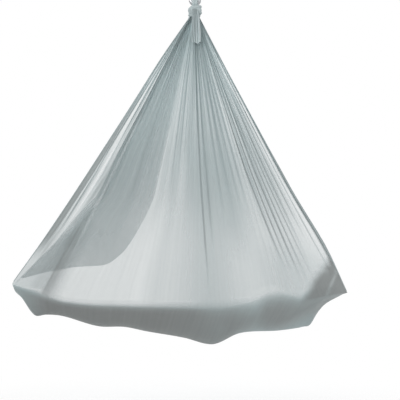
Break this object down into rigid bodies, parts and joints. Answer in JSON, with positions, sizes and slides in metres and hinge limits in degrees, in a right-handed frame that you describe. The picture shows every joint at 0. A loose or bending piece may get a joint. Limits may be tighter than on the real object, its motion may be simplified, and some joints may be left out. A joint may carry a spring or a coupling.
{
  "type": "aerial yoga hammock",
  "caption": "Sheer fabric hammock knotted over locking carabiners under a ceiling swivel, its panels fanned out to one trough that holds a lying person.",
  "frame": {"origin": "middle of the ceiling plate's top face, the face that meets the ceiling", "axes": "+Z out of the plate into the ceiling, +X along the fabric's width from the foot end to the head end, +Y from the front panel to the rear panel"},
  "size_m": [1.5685, 0.4146, 1.9208],
  "materials": {
    "zinc_steel": "satin zinc",
    "anodised_aluminium": "satin grey anodised",
    "dark_anodised_aluminium": "dark anodised, fluted",
    "spring_steel": "bright wire",
    "seal_rubber": "matt black",
    "sage_tricot": "pale sage grey, sheer low-stretch knit"
  },
  "bodies": {
    "ceiling_fitting": {"ceiling_plate": "zinc_steel", "hanger_eye": "zinc_steel", "ceiling_screw_1": "zinc_steel", "ceiling_screw_2": "zinc_steel", "ceiling_screw_3": "zinc_steel", "ceiling_screw_4": "zinc_steel", "screw_washer_1": "zinc_steel", "screw_washer_2": "zinc_steel", "screw_washer_3": "zinc_steel", "screw_washer_4": "zinc_steel"},
    "upper_carabiner": {"upper_carabiner_body": "anodised_aluminium", "upper_carabiner_gate_pin": "zinc_steel"},
    "upper_gate": {"upper_carabiner_gate": "anodised_aluminium", "upper_carabiner_gate_spring": "spring_steel", "upper_carabiner_gate_plunger": "zinc_steel"},
    "upper_sleeve": {"upper_carabiner_sleeve": "dark_anodised_aluminium"},
    "swivel_upper": {"swivel_upper_eye": "anodised_aluminium", "swivel_axle": "zinc_steel", "swivel_nut": "zinc_steel", "swivel_seal": "seal_rubber"},
    "hammock": {"swivel_lower_eye": "anodised_aluminium", "swivel_bearing": "zinc_steel", "front_carabiner_body": "anodised_aluminium", "front_carabiner_gate_pin": "zinc_steel", "rear_carabiner_body": "anodised_aluminium", "rear_carabiner_gate_pin": "zinc_steel", "front_knot": "sage_tricot", "front_tail": "sage_tricot", "rear_knot": "sage_tricot", "rear_tail": "sage_tricot", "hammock_fabric": "sage_tricot"},
    "front_gate": {"front_carabiner_gate": "anodised_aluminium", "front_carabiner_gate_spring": "spring_steel", "front_carabiner_gate_plunger": "zinc_steel"},
    "front_sleeve": {"front_carabiner_sleeve": "dark_anodised_aluminium"},
    "rear_gate": {"rear_carabiner_gate": "anodised_aluminium", "rear_carabiner_gate_spring": "spring_steel", "rear_carabiner_gate_plunger": "zinc_steel"},
    "rear_sleeve": {"rear_carabiner_sleeve": "dark_anodised_aluminium"}
  },
  "joints": [
    {"name": "swing_side", "type": "hinge", "parent": "ceiling_fitting", "child": "upper_carabiner", "pos_m": [0, 0, -0.052], "axis": [0, 1, 0], "range_deg": [-40, 40]},
    {"name": "swing_front", "type": "hinge", "parent": "upper_carabiner", "child": "swivel_upper", "pos_m": [0, 0, -0.1372], "axis": [1, 0, 0], "range_deg": [-40, 40]},
    {"name": "swivel_spin", "type": "hinge", "parent": "swivel_upper", "child": "hammock", "pos_m": [0, 0, -0.1854], "axis": [0, 0, 1], "continuous": true},
    {"name": "upper_gate_hinge", "type": "hinge", "parent": "upper_carabiner", "child": "upper_gate", "pos_m": [0.0235, 0, -0.1077], "axis": [0, -1, 0], "range_deg": [0, 25], "stiffness_Nm_per_rad": 0.3, "springref_deg": -34.38},
    {"name": "upper_sleeve_travel", "type": "slide", "parent": "upper_gate", "child": "upper_sleeve", "axis": [0, 0, 1], "range_m": [0, 0.015]},
    {"name": "front_gate_hinge", "type": "hinge", "parent": "hammock", "child": "front_gate", "pos_m": [0.0235, -0.01908, -0.27586], "axis": [0, -0.9816, 0.1908], "range_deg": [0, 25], "stiffness_Nm_per_rad": 0.3, "springref_deg": -34.38},
    {"name": "front_sleeve_travel", "type": "slide", "parent": "front_gate", "child": "front_sleeve", "axis": [0, 0.1908, 0.9816], "range_m": [0, 0.015]},
    {"name": "rear_gate_hinge", "type": "hinge", "parent": "hammock", "child": "rear_gate", "pos_m": [-0.0235, 0.01908, -0.27586], "axis": [0, 0.9816, 0.1908], "range_deg": [0, 25], "stiffness_Nm_per_rad": 0.3, "springref_deg": -34.38},
    {"name": "rear_sleeve_travel", "type": "slide", "parent": "rear_gate", "child": "rear_sleeve", "axis": [0, -0.1908, 0.9816], "range_m": [0, 0.015]}
  ]
}
